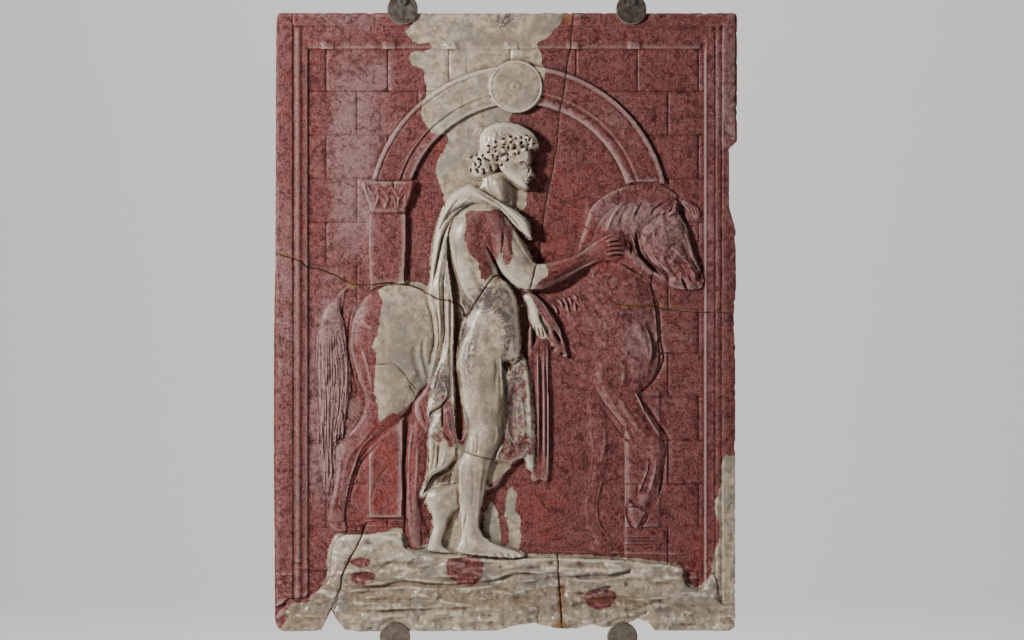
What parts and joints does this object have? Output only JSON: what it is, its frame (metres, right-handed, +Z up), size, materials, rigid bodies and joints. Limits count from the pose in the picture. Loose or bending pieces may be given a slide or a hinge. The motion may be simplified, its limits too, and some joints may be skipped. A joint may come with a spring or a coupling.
{
  "type": "carved marble relief plaque",
  "caption": "Upright marble wall plaque carved in low relief with a cloaked youth leading a horse past an archway, held to the wall by steel clips.",
  "frame": {"origin": "centre of the plaque's flat back, on the wall's face", "axes": "+Z up the plaque, +X to the viewer's right, -Y out of the wall towards the viewer"},
  "size_m": [0.4639, 0.0423, 0.6729],
  "materials": {
    "red_marble": "worn red and white marble, chiselled and partly smoothed",
    "clip_steel": "dulled brownish steel with a bright bevelled rim",
    "screw_steel": "plain steel screw"
  },
  "bodies": {
    "root": {"relief_plaque": "red_marble", "clip_top_left": "clip_steel", "clip_top_right": "clip_steel", "clip_bottom_left": "clip_steel", "clip_bottom_right": "clip_steel", "screw_top_left": "screw_steel", "screw_top_right": "screw_steel", "screw_bottom_left": "screw_steel", "screw_bottom_right": "screw_steel"}
  },
  "joints": []
}
